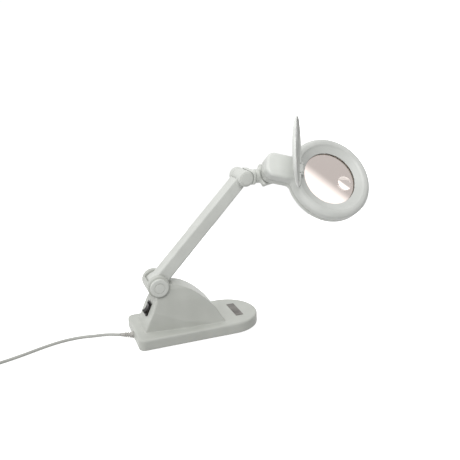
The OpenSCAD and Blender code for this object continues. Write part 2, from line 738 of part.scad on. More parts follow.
base_shell();
bottom_plate();
rubber_feet();
bottom_screws();
base_weight();
choke_core();
choke_coil();
choke_screws();
terminal_block();
switch_body();
switch_rocker();
label_plate();
strain_relief();
cord_grip();
power_cord();
cord_coil();
cord_tie();
plug_body();
plug_pins();
shoulder_bolt();
shoulder_nut();
shoulder_washers();
shoulder_caps();
arm_body();
arm_cover();
arm_screws();
arm_cable();
elbow_bolt();
elbow_nut();
elbow_washers();
elbow_caps();
neck_block();
swivel_tube();
swivel_clip();
yoke();
pan_bolt();
pan_washer();
head_top();
head_bottom();
head_screws();
main_lens();
inset_lens();
lens_ring();
reflector();
lamp_tube();
tube_base();
tube_clips();
tube_socket();
starter();
cover_pin();
lens_cover();
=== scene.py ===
import json
import math
import bmesh
import bpy
import numpy as np
from mathutils import Matrix, Vector


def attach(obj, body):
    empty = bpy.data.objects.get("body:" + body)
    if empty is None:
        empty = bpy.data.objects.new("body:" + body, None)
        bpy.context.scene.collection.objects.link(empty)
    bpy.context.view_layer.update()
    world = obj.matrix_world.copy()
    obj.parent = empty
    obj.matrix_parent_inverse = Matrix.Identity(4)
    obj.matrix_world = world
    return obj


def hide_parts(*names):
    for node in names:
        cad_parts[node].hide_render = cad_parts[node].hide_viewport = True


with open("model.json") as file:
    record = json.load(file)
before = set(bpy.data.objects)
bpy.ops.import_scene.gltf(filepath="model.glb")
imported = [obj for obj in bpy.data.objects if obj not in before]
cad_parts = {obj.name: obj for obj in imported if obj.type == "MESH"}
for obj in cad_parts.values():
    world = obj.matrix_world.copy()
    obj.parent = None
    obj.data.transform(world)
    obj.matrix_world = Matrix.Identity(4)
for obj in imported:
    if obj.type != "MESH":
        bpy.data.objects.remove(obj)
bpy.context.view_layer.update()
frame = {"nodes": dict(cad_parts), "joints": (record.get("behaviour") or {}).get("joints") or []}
mm = 0.001


# places, in millimetres, row frame
def turn(axis, degrees):
    # right-handed turn about x, y or z as a 3 x 3 matrix
    c, s = math.cos(math.radians(degrees)), math.sin(math.radians(degrees))
    a, b = [(1, 2), (2, 0), (0, 1)]["xyz".index(axis)]
    m = np.eye(3)
    m[a, a] = m[b, b] = c
    m[a, b], m[b, a] = -s, s
    return m


class Place:
    # a frame with its origin and its turned axes: out = origin + turned x local
    def __init__(self, origin=(0, 0, 0), turned=np.eye(3)):
        self.origin, self.turned = np.array(origin, float), np.array(turned, float)

    def out(self, points):
        return self.origin + np.asarray(points, float) @ self.turned.T

    def sub(self, offset, turned=np.eye(3)):
        return Place(self.out(offset), self.turned @ turned)


lamp = {"armAngle": 46.5, "armLength": 212, "neckAngle": -3.25, "headRoll": 54.5, "headPan": -14.5,
        "panBolt": 55.5, "lensAt": (85, 0, 28), "coverPin": (-53, 0, 9.5), "coverOpen": 118.5,
        "backSlope": 64.2, "switch": (-77.4, 0, 46.5)}
shoulder = np.array({j["name"]: j for j in frame["joints"]}["shoulder_hinge"]["pos_m"]) / mm
ground = Place()
armPlace = Place(shoulder, turn("y", -lamp["armAngle"]))
elbow = armPlace.out((lamp["armLength"], 0, 0))
neckPlace = Place(elbow, turn("y", -lamp["neckAngle"]))
yokePlace = neckPlace.sub((0, 0, 0), turn("x", lamp["headRoll"]))
headPlace = yokePlace.sub((lamp["panBolt"], 0, 0), turn("z", lamp["headPan"])).sub(lamp["lensAt"])
coverPlace = headPlace.sub(lamp["coverPin"], turn("y", -lamp["coverOpen"]))
switchPlace = Place(lamp["switch"], turn("y", -lamp["backSlope"]))

# camera
view = {"at": (-229.66, -798.4, 407.32), "yaw": 20.111, "pitch": 16.435, "roll": -1.419, "focal": 43.557,
        "sensor": 36}
cameraData = bpy.data.cameras.new("camera")
cameraData.lens, cameraData.sensor_width = view["focal"], view["sensor"]
camera = bpy.data.objects.new("camera", cameraData)
bpy.context.scene.collection.objects.link(camera)
camera.location = [c * mm for c in view["at"]]
aim = turn("z", -view["yaw"]) @ turn("x", 90 - view["pitch"]) @ turn("z", view["roll"])
camera.rotation_mode = "QUATERNION"
camera.rotation_quaternion = Matrix(aim.tolist()).to_quaternion()
bpy.context.scene.camera = camera
print("camera placed")


# materials
def linear(hexColour, alpha=1.0):
    # sRGB hex to linear: c/12.92 below 0.04045, else ((c + 0.055)/1.055)^2.4
    c = [int(hexColour[i:i + 2], 16) / 255 for i in (1, 3, 5)]
    return tuple(v / 12.92 if v <= 0.04045 else ((v + 0.055) / 1.055) ** 2.4 for v in c) + (alpha,)


class Finish:
    def __init__(self, name):
        self.material = bpy.data.materials.new(name)
        self.material.use_nodes = True
        self.tree = self.material.node_tree
        self.shader = self.tree.nodes["Principled BSDF"]
        self.output = self.tree.nodes["Material Output"]
        self.coordinates = self.add("ShaderNodeTexCoord")

    def add(self, kind, settings=None, links=None):
        # one node: settings are attributes or socket values, links are socket: (node, output)
        node = self.tree.nodes.new(kind)
        for key, value in (settings or {}).items():
            if hasattr(node, key):
                setattr(node, key, value)
            else:
                node.inputs[key].default_value = value
        for key, (source, socket) in (links or {}).items():
            self.tree.links.new(source.outputs[socket], node.inputs[key])
        return node

    def set(self, **values):
        for key, value in values.items():
            self.shader.inputs[key.replace("_", " ")].default_value = value

    def join(self, source, socket, key):
        self.tree.links.new(source.outputs[socket], self.shader.inputs[key])

    def noise(self, sizeMm, detail=3.0, stretch=(1, 1, 1)):
        # noise whose features are about sizeMm across
        mapped = self.add("ShaderNodeMapping", {"Scale": stretch}, {"Vector": (self.coordinates, "Object")})
        return self.add("ShaderNodeTexNoise", {"Scale": 1000 / sizeMm, "Detail": detail},
                        {"Vector": (mapped, "Vector")})

    def shade(self, source, socket, low, high, start=0.35, end=0.65):
        # colour runs from low to high as the pattern goes from start to end
        ramp = self.add("ShaderNodeValToRGB", None, {"Fac": (source, socket)})
        first, last = ramp.color_ramp.elements
        first.position, last.position = start, end
        first.color, last.color = linear(low), linear(high)
        return ramp

    def level(self, source, socket, low, high):
        # a number that runs from low to high over the pattern
        return self.add("ShaderNodeMapRange", {"From Min": 0.3, "From Max": 0.7, "To Min": low, "To Max": high},
                        {"Value": (source, socket)})

    def bump(self, source, socket, depthMm, strength):
        return self.add("ShaderNodeBump", {"Distance": depthMm * mm, "Strength": strength},
                        {"Height": (source, socket)})


def mouldedPlastic(name, base, lighter, rough=0.42, grainMm=0.9, depthMm=0.02, spec=0.5):
    # injection-moulded ABS: fine spark-eroded grain that breaks up the gloss, faint flow clouds in the colour;
    # the real grain of 0.2 mm is drawn at about 0.9 mm so that it shows
    f = Finish(name)
    clouds, grain = f.noise(38, 2.0), f.noise(grainMm, 4.0)
    f.join(f.shade(clouds, "Fac", base, lighter), "Color", "Base Color")
    f.join(f.level(grain, "Fac", rough - 0.05, rough + 0.06), "Result", "Roughness")
    f.join(f.bump(grain, "Fac", depthMm, 0.6), "Normal", "Normal")
    f.set(IOR=1.52, Specular_IOR_Level=spec)
    return f.material


finishes = {
    "shell": mouldedPlastic("absMouldedLightGrey", "#BFC1BC", "#C7C9C4"),
    # the base is its own darker grey, made darker still as painted shade for the plate's top
    "base": mouldedPlastic("absMouldedBaseGreyPaintedShade", "#B1B3AD", "#B8BAB4", 0.46, 0.9, 0.02, 0.35),
    "head": mouldedPlastic("absMouldedHeadGrey", "#C5C7C3", "#CDCFCB"),
    "cover": mouldedPlastic("absMouldedCoverGrey", "#D0D2CE", "#D8DAD6", 0.34),
    "under": mouldedPlastic("absMouldedPlateGrey", "#83857F", "#8C8E88", 0.55),
    "relief": mouldedPlastic("pvcMouldedReliefGrey", "#A4A29E", "#B0AEA9", 0.5, 0.7),
    "lead": mouldedPlastic("pvcExtrudedLeadGrey", "#A7A8A3", "#B2B3AE", 0.38, 1.6, 0.015),
    "plug": mouldedPlastic("pvcMouldedPlugGrey", "#BEBFBA", "#C8C9C4", 0.42, 0.8),
    "black": mouldedPlastic("absMouldedBlack", "#110F0D", "#181512", 0.42, 0.9, 0.01, 0.3),
    "nylon": mouldedPlastic("nylonNatural", "#E2E0D6", "#EAE8DF", 0.5, 1.2),
    "tie": mouldedPlastic("pvcCoatedTieBlack", "#17181A", "#202224", 0.45, 0.8),
}


def rubberMaterial():
    # die-moulded rubber: matt, with a dusty bloom
    f = Finish("rubberMouldedDark")
    dust, pores = f.noise(6, 4.0), f.noise(0.6, 3.0)
    f.join(f.shade(dust, "Fac", "#2B2B2A", "#3D3C3A"), "Color", "Base Color")
    f.join(f.bump(pores, "Fac", 0.05, 0.7), "Normal", "Normal")
    f.set(Roughness=0.85, IOR=1.5)
    return f.material


def steelMaterial(name, dark, light, rough):
    # zinc-plated steel: pale metal with a fine turned streak and slightly uneven plating
    f = Finish(name)
    plating, streak = f.noise(2.4, 5.0), f.noise(0.7, 2.0, (1, 1, 9))
    f.join(f.shade(plating, "Fac", dark, light), "Color", "Base Color")
    f.join(f.level(plating, "Fac", rough - 0.06, rough + 0.1), "Result", "Roughness")
    f.join(f.bump(streak, "Fac", 0.01, 0.5), "Normal", "Normal")
    f.set(Metallic=1.0)
    return f.material


def castMaterial():
    # painted iron casting: dark lacquer over a sand-cast skin
    f = Finish("castIronLacquered")
    sand, patches = f.noise(1.3, 5.0), f.noise(14, 3.0)
    f.join(f.shade(patches, "Fac", "#303234", "#45474A"), "Color", "Base Color")
    f.join(f.bump(sand, "Fac", 0.2, 0.8), "Normal", "Normal")
    f.set(Roughness=0.6, IOR=1.5)
    return f.material


def laminationMaterial():
    # stacked 0.5 mm steel sheet, varnished: dark lines across the stack, drawn 1 mm apart so that they show
    f = Finish("steelLaminationsVarnished")
    stack = f.add("ShaderNodeTexWave",
                  {"wave_type": "BANDS", "bands_direction": "Z", "Scale": 320.0, "Distortion": 0.4},
                  {"Vector": (f.coordinates, "Object")})
    f.join(f.shade(stack, "Fac", "#3C3E42", "#6A6C70", 0.2, 0.8), "Color", "Base Color")
    f.join(f.bump(stack, "Fac", 0.08, 0.8), "Normal", "Normal")
    f.set(Metallic=0.7, Roughness=0.42)
    return f.material


def windingMaterial():
    # enamelled copper wire of 0.6 mm under clear tape: close turns, drawn 1.2 mm apart so that they show
    f = Finish("copperWindingEnamelled")
    turns = f.add("ShaderNodeTexWave",
                  {"wave_type": "BANDS", "bands_direction": "Z", "Scale": 260.0, "Distortion": 0.2},
                  {"Vector": (f.coordinates, "Object")})
    f.join(f.shade(turns, "Fac", "#6E2F12", "#B9622E", 0.2, 0.8), "Color", "Base Color")
    f.join(f.bump(turns, "Fac", 0.15, 0.9), "Normal", "Normal")
    f.set(Metallic=0.8, Roughness=0.36)
    return f.material


def plateMaterial():
    # satin-printed aluminium foil: dark grey ink with a fine rolled grain along the plate
    f = Finish("foilSatinPrintedGrey")
    rolled, cloud = f.noise(0.8, 3.0, (6, 1, 1)), f.noise(16, 2.0)
    f.join(f.shade(cloud, "Fac", "#5E5B57", "#7A7772"), "Color", "Base Color")
    f.join(f.level(rolled, "Fac", 0.34, 0.46), "Result", "Roughness")
    f.join(f.bump(rolled, "Fac", 0.01, 0.6), "Normal", "Normal")
    f.set(Metallic=0.35)
    return f.material


def fibreMaterial():
    # pressed fibre friction disc: dark, with short pale fibres
    f = Finish("fibreDiscPressed")
    fibres = f.noise(0.9, 5.0, (1, 5, 1))
    f.join(f.shade(fibres, "Fac", "#26211D", "#4A423A"), "Color", "Base Color")
    f.join(f.bump(fibres, "Fac", 0.06, 0.8), "Normal", "Normal")
    f.set(Roughness=0.8)
    return f.material


def enamelMaterial():
    # white stoved enamel on the reflector: glossy with light orange peel of about 2 mm
    f = Finish("enamelStovedWhite")
    peel = f.noise(2.2, 2.0)
    f.join(f.shade(peel, "Fac", "#EDEDE9", "#F6F6F3"), "Color", "Base Color")
    f.join(f.bump(peel, "Fac", 0.02, 0.5), "Normal", "Normal")
    f.set(Roughness=0.22, Coat_Weight=0.4, Coat_Roughness=0.1)
    return f.material


def phosphorMaterial():
    # fluorescent tube: powdery white phosphor seen through clear glass
    f = Finish("glassTubePhosphorWhite")
    powder = f.noise(3.0, 4.0)
    f.join(f.shade(powder, "Fac", "#ECECE4", "#F7F7F2"), "Color", "Base Color")
    f.join(f.level(powder, "Fac", 0.3, 0.4), "Result", "Roughness")
    f.set(Coat_Weight=1.0, Coat_Roughness=0.03, Subsurface_Weight=0.15)
    return f.material


def lensMaterial(name, tint):
    # ground and polished optical glass with a trace of dust haze; its grey-rose tint is painted shade, standing in
    # for the dim view seen through the lens
    f = Finish(name)
    dust = f.noise(5.0, 5.0)
    f.join(f.level(dust, "Fac", 0.0, 0.035), "Result", "Roughness")
    f.shader.inputs["Base Color"].default_value = linear(tint)
    f.set(IOR=1.52, Transmission_Weight=1.0)
    return f.material


finishes.update(rubber=rubberMaterial(),
                steel=steelMaterial("steelZincPlated", "#B6B8BA", "#D3D4D5", 0.3),
                brass=steelMaterial("brassNickelPins", "#C2BBA6", "#DAD4C4", 0.24),
                cast=castMaterial(), lamination=laminationMaterial(), winding=windingMaterial(),
                plate=plateMaterial(), fibre=fibreMaterial(), enamel=enamelMaterial(), phosphor=phosphorMaterial(),
                # the grey-rose tints of both lenses are painted shade for the view seen through them
                lens=lensMaterial("glassTintedForPaintedView", "#C4BAB5"),
                smallLens=lensMaterial("glassInsetTintedForPaintedView", "#CBC2BD"))
print("materials made")


# meshes
def meshPiece(name, points, faces, body, finish, slot, replaced=(), sharp=38, place=ground):
    # points in millimetres of the place, faces as a list of index rows
    data = bpy.data.meshes.new(name)
    data.from_pydata((place.out(points) * mm).tolist(), [], faces)
    shape = bmesh.new()
    shape.from_mesh(data)
    bmesh.ops.remove_doubles(shape, verts=shape.verts, dist=1e-7)      # closes the poles of turned pieces
    shape.to_mesh(data)
    shape.free()
    data.shade_smooth()
    data.set_sharp_from_angle(angle=math.radians(sharp))
    data.materials.append(finishes[finish])
    piece = bpy.data.objects.new(name, data)
    bpy.context.scene.collection.objects.link(piece)
    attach(piece, body)
    if replaced:
        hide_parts(*replaced)
    return piece


def gridFaces(rows, columns, around=True, joined=False):
    # quads of a rows x columns grid; around closes the columns, joined closes the rows
    i, j = np.meshgrid(np.arange(rows if joined else rows - 1),
                       np.arange(columns if around else columns - 1), indexing="ij")
    below, beside = (i + 1) % rows, (j + 1) % columns
    corners = [i * columns + j, i * columns + beside, below * columns + beside, below * columns + j]
    return np.stack(corners, -1).reshape(-1, 4)


def lathePoints(profile, steps):
    # profile point (r, z) at angle a goes to (r cos a, r sin a, z)
    a = np.linspace(0, 2 * math.pi, steps, endpoint=False)
    r, z = np.asarray(profile, float).T
    return np.stack([np.outer(r, np.cos(a)), np.outer(r, np.sin(a)), np.outer(z, np.ones(steps))], -1)


def lathe(profile, steps=96):
    # closed profile, anticlockwise in (r, z) so that faces point out
    p = lathePoints(profile, steps)
    rows = len(p)
    return p.reshape(-1, 3), gridFaces(rows, steps, True, True).tolist()


def bevelProfile(corners, radius, steps=4):
    # each corner of a closed profile becomes an arc of the given radius: (1-t)^2 a + 2t(1-t) corner + t^2 b
    corners = np.asarray(corners, float)
    t = np.linspace(0, 1, steps + 1)[:, None]
    out = []
    for i, c in enumerate(corners):
        before, after = corners[i - 1] - c, corners[(i + 1) % len(corners)] - c
        r = radius[i] if hasattr(radius, "__len__") else radius
        cut = min(r, 0.45 * np.linalg.norm(before), 0.45 * np.linalg.norm(after))
        if cut < 0.02:
            out.append(c[None])
            continue
        a, b = c + before / np.linalg.norm(before) * cut, c + after / np.linalg.norm(after) * cut
        out.append((1 - t) ** 2 * a + 2 * t * (1 - t) * c + t * t * b)
    return np.concatenate(out)


def tubePoints(path, radius, steps):
    # rings of the given radius round each point, square to the path
    path = np.asarray(path, float)
    ahead = np.gradient(path, axis=0)
    ahead /= np.linalg.norm(ahead, axis=1)[:, None]
    side = np.cross(ahead, [0, 0, 1.0])
    side /= np.linalg.norm(side, axis=1)[:, None]
    up = np.cross(side, ahead)
    a = np.linspace(0, 2 * math.pi, steps, endpoint=False)
    radius = np.broadcast_to(radius, (len(path),))[:, None, None]
    ring = np.cos(a)[None, :, None] * side[:, None] + np.sin(a)[None, :, None] * up[:, None]
    return path[:, None] + radius * ring


def smoothPath(points, every):
    # Catmull-Rom curve through the points, then equal steps of about the given length
    p = np.asarray(points, float)
    p = np.vstack([2 * p[0] - p[1], p, 2 * p[-1] - p[-2]])
    t = np.linspace(0, 1, 24, endpoint=False)[:, None]
    bends = [0.5 * (2 * b + (c - a) * t + (2 * a - 5 * b + 4 * c - d) * t ** 2
                    + (3 * b - 3 * c + d - a) * t ** 3)
             for a, b, c, d in zip(p, p[1:], p[2:], p[3:])]
    curve = np.concatenate(bends + [p[-2:-1]])
    run = np.concatenate([[0], np.cumsum(np.linalg.norm(np.diff(curve, axis=0), axis=1))])
    where = np.linspace(0, run[-1], int(run[-1] / every) + 2)
    return np.stack([np.interp(where, run, curve[:, k]) for k in range(3)], -1)


# the lead: out of its relief, down to the table, wound up beside the lamp, and its plug
lead = {"diameter": 4.8, "exit": (-122.8, 6.2, 6.9), "coil": (-366, 20), "turns": 8.25, "mid": 27.5,
        "route": [(-122.8, 6.2, 6.9), (-127, 7.7, 7.1), (-131, 9.9, 7), (-136, 13.6, 6.4), (-141, 17.4, 5.5),
                  (-147, 21.2, 4.3), (-153, 24.2, 3.3), (-160, 26.8, 2.6), (-167, 28.6, 2.4), (-175, 29.9, 2.4),
                  (-188, 30.6, 2.4), (-202, 29.6, 2.4), (-218, 26.2, 2.4), (-236, 20.2, 2.4), (-254, 12.6, 2.4),
                  (-272, 5, 2.4), (-290, -1.6, 2.4), (-308, -6.6, 2.4), (-326, -9.8, 2.4), (-346, -11.6, 2.4),
                  (-357, -12.1, 2.4)],
        "tail": [(-398.3, 30, 12), (-398.3, 40, 10.4), (-398.3, 50, 8.2), (-398.3, 58, 7), (-398.3, 65, 6.7)],
        "plug": (-398.3, 84, 6.7)}


def coilPath():
    # three flat layers of three turns: the radius steps in or out by a diameter at each turn and the
    # height steps up at each layer, both eased over a short stretch of the turn
    d, (cx, cy) = lead["diameter"], lead["coil"]
    start, total = -90.0, 360.0 * lead["turns"]
    a = np.arange(0, total + 1e-6, 15.0)
    turnNumber, part = np.divmod(a, 360.0)
    ease = np.clip((part - 290) / 70, 0, 1)
    ease = ease * ease * (3 - 2 * ease)
    step = np.array([0, 1, 2, 2, 1, 0, 0, 1, 0.0])          # place in the row of each turn, from outside
    high = np.array([0, 0, 0, 1, 1, 1, 2, 2, 2.0])
    n = turnNumber.astype(int)
    after = np.minimum(n + 1, 8)
    inward = step[n] * (1 - ease) + step[after] * ease
    layer = high[n] * (1 - ease) + high[after] * ease
    r = lead["mid"] + d - inward * d
    angle = np.radians(start - a)
    z = d / 2 + layer * d
    return np.stack([cx + r * np.cos(angle), cy + r * np.sin(angle), z], -1)


leadPath = np.concatenate([smoothPath(lead["route"], 6.0), coilPath(), smoothPath(lead["tail"], 5.0)])


def cappedFaces(rows, steps):
    # the quads of a grid of rings and a flat cap at each end
    ends = [list(range(steps)), [(rows - 1) * steps + k for k in range(steps)][::-1]]
    return gridFaces(rows, steps)[:, ::-1].tolist() + ends


def tube(path, radius, steps):
    # a closed tube along the path
    p = tubePoints(path, radius, steps)
    return p.reshape(-1, 3), cappedFaces(len(p), steps)


leadPiece = meshPiece("lead", *tube(leadPath, lead["diameter"] / 2, 14), "base", "lead", "cord_pvc",
                      ("power_cord", "cord_coil"))


def superBlock(stations, steps=40, power=4.0):
    # rounded block along x: station (x, half width, half height), section |y/a|^power + |z/b|^power = 1
    a = np.linspace(0, 2 * math.pi, steps, endpoint=False)
    c, s = np.cos(a), np.sin(a)
    y, z = np.sign(c) * np.abs(c) ** (2 / power), np.sign(s) * np.abs(s) ** (2 / power)
    st = np.asarray(stations, float)
    p = np.stack([np.outer(st[:, 0], np.ones(steps)), np.outer(st[:, 1], y), np.outer(st[:, 2], z)], -1)
    return p.reshape(-1, 3), cappedFaces(len(st), steps)


plug = {"grip": [(-18, 10.6, 5.4), (-17.4, 11.5, 6.2), (-16, 11.9, 6.6), (-6, 11.9, 6.6), (-1, 11.2, 6.5),
                 (4, 9.6, 6.3), (8, 7.6, 5.9), (9.4, 6.2, 5.4)],
        "sleeveStart": 9.8, "ribPitch": 1.2, "ribs": 9, "sleeveWidth": 5.0, "sleeveHeight": 4.9, "ribDepth": 0.7,
        "sleeveTaper": 0.12}
sleeve = [(plug["sleeveStart"] + k * plug["ribPitch"],
           plug["sleeveWidth"] - plug["sleeveTaper"] * k - plug["ribDepth"] * (k % 2),
           plug["sleeveHeight"] - plug["sleeveTaper"] * k - plug["ribDepth"] * (k % 2)) for k in range(plug["ribs"])]
plugPiece = meshPiece("plugShell", *superBlock(plug["grip"] + sleeve), "base", "plug", "cord_pvc", ("plug_body",),
                      place=Place(lead["plug"], turn("z", -90)))

# strain relief: collar, ribs and a tapered sleeve, radius = middle + depth * clip(3 sin(2 pi s / pitch)) at
# the distance s from the collar
relief = {"exit": (-103, 1.5, 5.6), "shift": (-1.4, 0.1, 0), "turned": (86, 165.5), "length": 18.6, "sunk": 0.2,
          "collarEnd": 2.6, "ribsEnd": 13.6, "bore": 2.0, "collar": 4.4, "middle": 3.55, "sleeve": 2.6,
          "taper": 0.1, "ribDepth": 0.65, "ribPitch": 2.75,
          "flange": [(1.5, -4), (3.6, -4), (3.6, 0.02), (5.2, 0.02), (5.2, 2), (1.5, 2)]}
tilt, heading = relief["turned"]
reliefPlace = Place(relief["exit"]).sub(relief["shift"], turn("z", heading) @ turn("y", tilt))
along = -relief["sunk"] + np.linspace(0, 1, 141) * (relief["length"] + relief["sunk"])
radius = np.where(along < relief["collarEnd"], relief["collar"],
                  np.where(along < relief["ribsEnd"], relief["middle"],
                           relief["sleeve"] + relief["taper"] * (relief["length"] - along)))
wave = np.clip(np.sin(2 * math.pi * (along - relief["collarEnd"]) / relief["ribPitch"]) * 3, -1, 1)
radius = radius + relief["ribDepth"] * wave * (along > relief["collarEnd"]) * (along < relief["ribsEnd"])
profile = [(relief["bore"], -relief["sunk"])] + list(zip(radius, along)) + [(relief["bore"], relief["length"])]
meshPiece("strainRelief", *lathe(profile, 40), "base", "relief", "rubber", ("strain_relief",), place=reliefPlace)
meshPiece("reliefFlange", *lathe(bevelProfile(relief["flange"], [0, 0, 0, 0.2, 0.7, 0]), 48),
          "base", "relief", "rubber", place=Place(relief["exit"], turn("y", -90)))


# moulded shapes: a signed distance on a grid, its zero surface taken as quads
def isoSurface(distance, low, high, step):
    # every grid cell the surface crosses gets one point, the mean of its edge crossings, and every crossed
    # grid edge one quad; the points then slide down the distance's gradient: p - d g / |g|^2
    axes = [np.arange(a, b + step, step) for a, b in zip(low, high)]
    x, y, z = np.meshgrid(*axes, indexing="ij")
    d = distance(x, y, z).astype(np.float32)
    inside = d < 0
    shape = tuple(n - 1 for n in d.shape)
    corner = [(i, j, k) for i in (0, 1) for j in (0, 1) for k in (0, 1)]
    count = sum(inside[tuple(slice(o, o + n) for o, n in zip(c, shape))].astype(np.int8) for c in corner)
    cell = np.argwhere((count > 0) & (count < 8))
    value = np.stack([d[tuple((cell + c).T)] for c in corner], 1).astype(float)
    total, hits = np.zeros((len(cell), 3)), np.zeros(len(cell))
    for m, a in enumerate(corner):
        for n, b in enumerate(corner):
            if sum(np.abs(np.subtract(a, b))) != 1 or m > n:
                continue
            crossed = (value[:, m] < 0) != (value[:, n] < 0)
            gap = np.where(crossed, value[:, m] - value[:, n], 1)
            t = np.where(crossed, value[:, m] / gap, 0)[:, None]
            total += np.where(crossed[:, None], np.array(a) + t * np.subtract(b, a), 0)
            hits += crossed
    points = np.array([a[0] for a in axes]) + (cell + total / hits[:, None]) * step
    for _ in range(3):
        e = 0.02 * step
        value = distance(*points.T)
        slope = np.stack([(distance(*(points + e * u).T) - distance(*(points - e * u).T)) / (2 * e)
                          for u in np.eye(3)], -1)
        move = -value[:, None] * slope / np.maximum((slope ** 2).sum(1), 0.05)[:, None]
        size = np.linalg.norm(move, axis=1)[:, None]
        points = points + move * np.minimum(1, 0.4 * step / np.maximum(size, 1e-9))
    number = np.full(shape, -1, np.int64)
    number[tuple(cell.T)] = np.arange(len(cell))
    quads = []
    for axis in range(3):
        u, v = (axis + 1) % 3, (axis + 2) % 3
        one = [slice(None)] * 3
        two = [slice(None)] * 3
        one[axis], two[axis] = slice(0, -1), slice(1, None)
        a, b = inside[tuple(one)], inside[tuple(two)]
        edge = np.argwhere(a != b)
        edge = edge[(edge[:, u] > 0) & (edge[:, v] > 0) & (edge[:, u] < shape[u]) & (edge[:, v] < shape[v])]
        out = a[tuple(edge.T)]
        du, dv = np.eye(3, dtype=int)[u], np.eye(3, dtype=int)[v]
        ring = [number[tuple((edge - back).T)] for back in (du + dv, dv, 0 * du, du)]
        quad = np.stack(ring, 1)
        quads.append(np.where(out[:, None], quad, quad[:, ::-1]))
    faces = np.concatenate(quads)
    return points, faces[(faces >= 0).all(1)].tolist()


def roundCut(a, b, r):
    # where both distances hold, with the shared edge rounded to r
    return np.minimum(np.maximum(a, b), -r) + np.hypot(np.maximum(a + r, 0), np.maximum(b + r, 0))


def roundJoin(a, b, r):
    # either distance, with the inside corner filled to radius r
    return np.maximum(np.minimum(a, b), r) - np.hypot(np.maximum(r - a, 0), np.maximum(r - b, 0))


def roundBox(x, y, r):
    # distance in the plane to a corner-rounded quarter: x and y already run outwards from its corner
    qx, qy = x + r, y + r
    return np.hypot(np.maximum(qx, 0), np.maximum(qy, 0)) + np.minimum(np.maximum(qx, qy), 0) - r


def outlineDistance(x, y, points):
    # distance to a closed outline, negative inside: nearest point of each edge, sign by edge crossings
    p = np.asarray(points, float)
    best = np.full(np.shape(x), 1e9)
    sign = np.ones(np.shape(x))
    for (ax, ay), (bx, by) in zip(p, np.roll(p, 1, 0)):
        ex, ey, wx, wy = bx - ax, by - ay, x - ax, y - ay
        t = np.clip((wx * ex + wy * ey) / (ex * ex + ey * ey), 0, 1)
        best = np.minimum(best, (wx - ex * t) ** 2 + (wy - ey * t) ** 2)
        c1, c2, c3 = y >= ay, y < by, ex * wy > ey * wx
        sign = np.where((c1 & c2 & c3) | (~c1 & ~c2 & ~c3), -sign, sign)
    return sign * np.sqrt(best)


def moulded(name, distance, low, high, step, body, finish, slot, replaced=(), place=ground, sharp=50):
    points, faces = isoSurface(distance, low, high, step)
    piece = meshPiece(name, points, faces, body, finish, slot, replaced, sharp, place)
    print(name, len(faces), "quads")
    return piece


# base shell
base = {"back": -103, "half": 51, "corner": 10, "noseAt": 52, "edge": 3.2, "foot": 1.2, "footEdge": 0.8, "top": 18,
        "wall": 2.5, "ceiling": 15.5, "fillet": 0.9, "ridgeEdge": 1.2,
        "halfWidths": [(17, 36), (44, 30), (60, 26), (72, 22.2), (80, 20), (87, 16)],
        "planWidths": [(-105, 25.8), (-28, 33.2), (47, 37)],
        "ear": (-62.3, 87), "earRadius": 17.2, "earHalf": 22, "earEdge": 1.4, "earFillet": 2.0,
        "slotRadius": 15.4, "slotHalf": 13.3, "slotEdge": 0.9, "slotTurned": (28.5, 98.5),
        "slotUnder": 12.6, "slotBand": (-8.7, 21.3),
        "room": (-37, 46), "roomHeight": (10, 63), "roomWall": 3,
        "switchHole": (9.8, 7), "switchDepth": (-30, 9), "leadHole": (1.5, 5.6, 3.7), "leadHoleEnd": -97}


def curvePoints(p, steps):
    # Bezier curve of any degree through its control points, by repeated mixing
    t = np.linspace(0, 1, steps + 1)[:, None]
    rows = [np.asarray(q, float)[None] * np.ones_like(t) for q in p]
    while len(rows) > 1:
        rows = [(1 - t) * a + t * b for a, b in zip(rows, rows[1:])]
    return rows[0]


ridge = np.vstack([curvePoints([(-53, 87), (-19, 86.5), (0, 70), (25, 42)], 12),
                   curvePoints([(25, 42), (34, 26), (39.5, 17)], 6)[1:]])
pedestalSide = [(-92.7, 10), (-67, 67), (-62, 87)] + ridge.tolist() + [(39.5, 10)]


def turnedAxes(x, z, degrees):
    # the same point read in axes turned by the angle: (x cos + z sin, z cos - x sin)
    c, s = math.cos(math.radians(degrees)), math.sin(math.radians(degrees))
    return x * c + z * s, z * c - x * s


def planDistance(x, y):
    # square back with rounded corners, half-round front
    back = roundBox(base["back"] - x, np.abs(y) - base["half"], base["corner"])
    return np.where(x > base["noseAt"], np.hypot(x - base["noseAt"], y) - base["half"], back)


def pedestalDistance(x, y, z):
    # its side outline, and half a width that narrows with height and towards the back
    side = outlineDistance(x, z, pedestalSide)
    heights, widths = np.array(base["halfWidths"]).T
    places, limits = np.array(base["planWidths"]).T
    return side, np.abs(y) - np.minimum(np.interp(z, heights, widths), np.interp(x, places, limits))


def armSlotDistance(sx, y, sz):
    # room between the ears for the arm's barrel and for the arm at every angle it reaches
    low, high = base["slotTurned"]
    along, over = turnedAxes(sx, sz, low)
    first = np.maximum(-along, -base["slotUnder"] - over)
    along, over = turnedAxes(sx, sz, high)
    middle, half = base["slotBand"]
    second = np.maximum(-along, np.abs(over - middle) - half)
    barrel = np.hypot(sx, sz) - base["slotRadius"]
    return np.maximum(np.minimum(np.minimum(barrel, first), second), np.abs(y) - base["slotHalf"])


